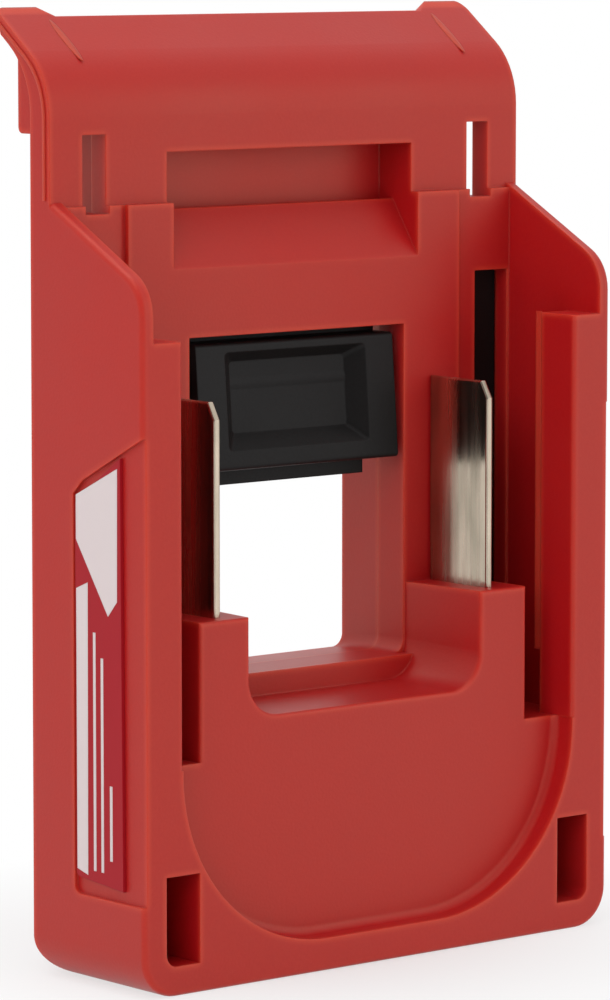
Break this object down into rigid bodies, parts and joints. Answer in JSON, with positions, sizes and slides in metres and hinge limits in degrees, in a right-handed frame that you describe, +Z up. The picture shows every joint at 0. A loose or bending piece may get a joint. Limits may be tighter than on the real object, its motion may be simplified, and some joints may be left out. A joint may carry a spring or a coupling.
{
  "type": "tool battery adapter",
  "caption": "Slide-on battery adapter with a rail channel and contact blades in front, a sprung latch lever in a window, and a slide rail with contact clips behind.",
  "frame": {"origin": "centre of the overall box at the foot, on the face the adapter stands on", "axes": "+Z up along the slide direction towards the head lip, +Y from the battery side at the front to the tool side at the back, +X to the right seen from the front"},
  "size_m": [0.066, 0.027, 0.1031],
  "materials": {
    "red_plastic": "satin moulded",
    "black_plastic": "satin moulded",
    "steel": "plain",
    "plated_blade": "nickel plated",
    "copper": "bare copper",
    "label_film": "printed film"
  },
  "bodies": {
    "adapter_body": {"housing": "red_plastic", "inner_carrier": "black_plastic", "rear_cover": "red_plastic", "latch_pivot_pin": "steel", "latch_spring_left": "steel", "latch_spring_right": "steel", "battery_blade_left": "plated_blade", "battery_blade_right": "plated_blade", "contact_link_left": "copper", "contact_link_right": "copper", "tool_clip_left": "plated_blade", "tool_clip_right": "plated_blade", "link_rivets_left": "steel", "link_rivets_right": "steel", "contact_holder": "black_plastic", "label_plate": "label_film", "cover_screws": "steel"},
    "lever_body": {"latch_lever": "black_plastic"}
  },
  "joints": [
    {"name": "latch_lever_rock", "type": "hinge", "parent": "adapter_body", "child": "lever_body", "pos_m": [0, 0.0054, 0.062], "axis": [1, 0, 0], "range_deg": [0, 8], "stiffness_Nm_per_rad": 0.15, "springref_deg": -11.46, "deforming": ["latch_spring_left", "latch_spring_right"]}
  ]
}
